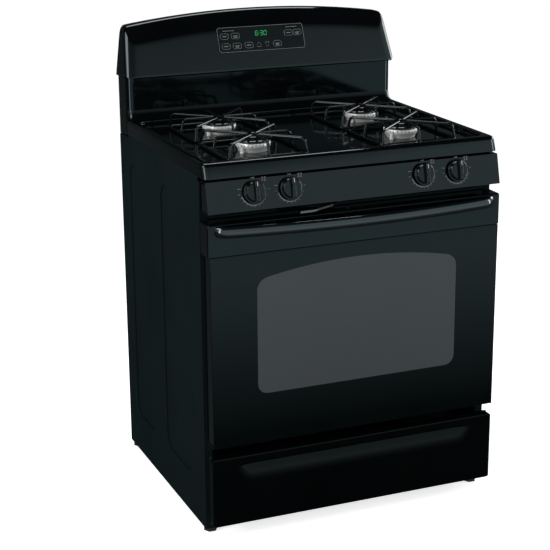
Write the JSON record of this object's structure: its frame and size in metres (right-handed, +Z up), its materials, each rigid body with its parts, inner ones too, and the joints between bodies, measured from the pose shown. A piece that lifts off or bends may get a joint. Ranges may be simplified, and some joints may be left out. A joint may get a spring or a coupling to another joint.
{
  "type": "freestanding gas range",
  "caption": "Freestanding black gas range: wire grates over open burners, push-and-turn knobs, drop-down oven door with a latch lever, storage drawer and arched rear console.",
  "frame": {"origin": "on the floor under the middle of the object's box", "axes": "+X to the right seen from the front, +Y to the rear, +Z up; the front faces -Y"},
  "size_m": [0.764, 0.72, 1.184],
  "materials": {
    "black_enamel": "glossy enamel",
    "side_enamel": "satin enamel",
    "console_plastic": "glossy",
    "door_black_glass": "glossy, printed black behind",
    "oven_window_glass": "clear",
    "handle_plastic": "glossy",
    "knob_plastic": "glossy",
    "burner_aluminium": "cast",
    "cap_enamel": "satin enamel",
    "grate_enamel": "glossy enamel",
    "igniter_ceramic": "glazed ceramic",
    "oven_enamel": "speckled enamel",
    "burner_steel": "heat stained",
    "rack_chrome": "bright",
    "gasket_weave": "woven glass fibre",
    "insulation_wool": "glass wool",
    "zinc_steel": "galvanised",
    "drawer_steel": "satin",
    "latch_steel": "bright plated",
    "valve_brass": "machined",
    "tube_aluminium": "drawn tube",
    "touch_face": "glossy printed",
    "control_box": "matte",
    "gland_rubber": "matte"
  },
  "bodies": {
    "root": {"cooktop": "black_enamel", "backguard_riser": "black_enamel", "control_panel": "black_enamel", "side_panel_left": "side_enamel", "side_panel_right": "side_enamel", "console_shell": "console_plastic", "burner_heads": "burner_aluminium", "burner_caps": "cap_enamel", "burner_igniters": "igniter_ceramic", "oven_liner": "oven_enamel", "oven_floor": "oven_enamel", "front_frame": "oven_enamel", "bake_burner": "burner_steel", "broil_burner": "burner_steel", "oven_flue": "burner_steel", "thermostat_probe": "rack_chrome", "door_gasket": "gasket_weave", "oven_insulation": "insulation_wool", "base_frame": "zinc_steel", "drawer_rails": "zinc_steel", "hinge_arms": "zinc_steel", "rear_panel": "zinc_steel", "backguard_cover": "zinc_steel", "rear_panel_screws": "zinc_steel", "gas_manifold": "zinc_steel", "gas_valves": "valve_brass", "burner_tubes": "tube_aluminium", "pressure_regulator": "tube_aluminium", "control_glass": "touch_face", "oven_control": "control_box", "cord_gland": "gland_rubber"},
    "door": {"door_frame": "black_enamel", "door_glass": "door_black_glass", "door_band": "black_enamel", "door_handle": "handle_plastic", "door_liner": "oven_enamel", "door_inner_glass": "oven_window_glass", "door_hinges": "zinc_steel"},
    "drawer": {"drawer_front": "black_enamel", "drawer_pan": "drawer_steel", "drawer_runners": "drawer_steel"},
    "latch": {"latch_lever": "latch_steel"},
    "rack_lower": {"oven_rack_lower": "rack_chrome"},
    "rack_upper": {"oven_rack_upper": "rack_chrome"},
    "grate_front_left": {"grate_front_left": "grate_enamel"},
    "leg_front_left": {"levelling_leg_front_left": "zinc_steel"},
    "grate_front_right": {"grate_front_right": "grate_enamel"},
    "leg_front_right": {"levelling_leg_front_right": "zinc_steel"},
    "grate_rear_left": {"grate_rear_left": "grate_enamel"},
    "leg_rear_left": {"levelling_leg_rear_left": "zinc_steel"},
    "grate_rear_right": {"grate_rear_right": "grate_enamel"},
    "leg_rear_right": {"levelling_leg_rear_right": "zinc_steel"},
    "stem_outer_left": {"valve_stem_outer_left": "valve_brass"},
    "knob_outer_left": {"knob_outer_left": "knob_plastic"},
    "stem_inner_left": {"valve_stem_inner_left": "valve_brass"},
    "knob_inner_left": {"knob_inner_left": "knob_plastic"},
    "stem_inner_right": {"valve_stem_inner_right": "valve_brass"},
    "knob_inner_right": {"knob_inner_right": "knob_plastic"},
    "stem_outer_right": {"valve_stem_outer_right": "valve_brass"},
    "knob_outer_right": {"knob_outer_right": "knob_plastic"}
  },
  "joints": [
    {"name": "door_hinge", "type": "hinge", "parent": "root", "child": "door", "pos_m": [0, -0.285, 0.255], "axis": [1, 0, 0], "range_deg": [0, 90], "stiffness_Nm_per_rad": 14, "springref_deg": -6.88},
    {"name": "drawer_slide", "type": "slide", "parent": "root", "child": "drawer", "axis": [0, -1, 0], "range_m": [0, 0.4]},
    {"name": "latch_turn", "type": "hinge", "parent": "root", "child": "latch", "pos_m": [0, -0.235, 0.8], "axis": [0, 0, 1], "range_deg": [0, 40]},
    {"name": "rack_lower_slide", "type": "slide", "parent": "root", "child": "rack_lower", "axis": [0, -1, 0], "range_m": [-0.01, 0.015]},
    {"name": "rack_upper_slide", "type": "slide", "parent": "root", "child": "rack_upper", "axis": [0, -1, 0], "range_m": [-0.01, 0.015]},
    {"name": "grate_front_left_lift", "type": "slide", "parent": "root", "child": "grate_front_left", "axis": [0, 0, 1], "range_m": [0, 0.15]},
    {"name": "leg_front_left_screw", "type": "slide", "parent": "root", "child": "leg_front_left", "axis": [0, 0, -1], "range_m": [0, 0.025]},
    {"name": "grate_front_right_lift", "type": "slide", "parent": "root", "child": "grate_front_right", "axis": [0, 0, 1], "range_m": [0, 0.15]},
    {"name": "leg_front_right_screw", "type": "slide", "parent": "root", "child": "leg_front_right", "axis": [0, 0, -1], "range_m": [0, 0.025]},
    {"name": "grate_rear_left_lift", "type": "slide", "parent": "root", "child": "grate_rear_left", "axis": [0, 0, 1], "range_m": [0, 0.15]},
    {"name": "leg_rear_left_screw", "type": "slide", "parent": "root", "child": "leg_rear_left", "axis": [0, 0, -1], "range_m": [0, 0.025]},
    {"name": "grate_rear_right_lift", "type": "slide", "parent": "root", "child": "grate_rear_right", "axis": [0, 0, 1], "range_m": [0, 0.15]},
    {"name": "leg_rear_right_screw", "type": "slide", "parent": "root", "child": "leg_rear_right", "axis": [0, 0, -1], "range_m": [0, 0.025]},
    {"name": "knob_outer_left_turn", "type": "hinge", "parent": "root", "child": "stem_outer_left", "pos_m": [-0.262, -0.29966, 0.853], "axis": [0, -0.972, 0.2351], "range_deg": [0, 240]},
    {"name": "knob_outer_left_push", "type": "slide", "parent": "stem_outer_left", "child": "knob_outer_left", "axis": [0, 0.972, -0.2351], "range_m": [0, 0.003], "stiffness_N_per_m": 1500},
    {"name": "knob_inner_left_turn", "type": "hinge", "parent": "root", "child": "stem_inner_left", "pos_m": [-0.172, -0.29966, 0.853], "axis": [0, -0.972, 0.2351], "range_deg": [0, 240]},
    {"name": "knob_inner_left_push", "type": "slide", "parent": "stem_inner_left", "child": "knob_inner_left", "axis": [0, 0.972, -0.2351], "range_m": [0, 0.003], "stiffness_N_per_m": 1500},
    {"name": "knob_inner_right_turn", "type": "hinge", "parent": "root", "child": "stem_inner_right", "pos_m": [0.172, -0.29966, 0.853], "axis": [0, -0.972, 0.2351], "range_deg": [0, 240]},
    {"name": "knob_inner_right_push", "type": "slide", "parent": "stem_inner_right", "child": "knob_inner_right", "axis": [0, 0.972, -0.2351], "range_m": [0, 0.003], "stiffness_N_per_m": 1500},
    {"name": "knob_outer_right_turn", "type": "hinge", "parent": "root", "child": "stem_outer_right", "pos_m": [0.262, -0.29966, 0.853], "axis": [0, -0.972, 0.2351], "range_deg": [0, 240]},
    {"name": "knob_outer_right_push", "type": "slide", "parent": "stem_outer_right", "child": "knob_outer_right", "axis": [0, 0.972, -0.2351], "range_m": [0, 0.003], "stiffness_N_per_m": 1500}
  ]
}
